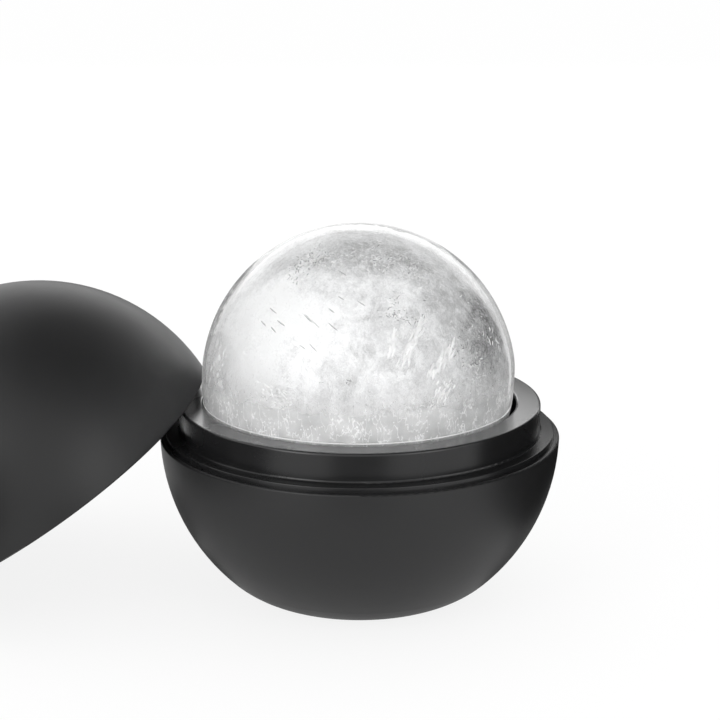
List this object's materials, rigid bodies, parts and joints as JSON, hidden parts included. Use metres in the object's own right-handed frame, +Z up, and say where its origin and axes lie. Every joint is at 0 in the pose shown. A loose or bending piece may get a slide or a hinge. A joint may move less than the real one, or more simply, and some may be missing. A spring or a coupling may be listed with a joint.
{
  "type": "ice ball mold",
  "caption": "Round rubber mold for a ball of ice: a thick bowl with a stepped collar, a domed upper half with a fill hole that leans on it, and the frozen ball popped up on the collar.",
  "frame": {"origin": "middle of the lower half's flat base, on the surface that the mold stands on", "axes": "+Z up along the lower half's axis; -X towards the upper half, which leans on the lower half's collar"},
  "size_m": [0.1454, 0.0852, 0.0754],
  "materials": {
    "silicone": "matte",
    "ice": "polished"
  },
  "bodies": {
    "lower": {"lower_half": "silicone"},
    "upper": {"upper_half": "silicone"},
    "ball": {"ice_ball": "ice"}
  },
  "joints": [
    {"name": "upper_lift", "type": "slide", "parent": "lower", "child": "upper", "axis": [0, 0, 1], "range_m": [0, 0.08]},
    {"name": "ball_lift", "type": "slide", "parent": "lower", "child": "ball", "axis": [0, 0, 1], "range_m": [0, 0.06]}
  ]
}
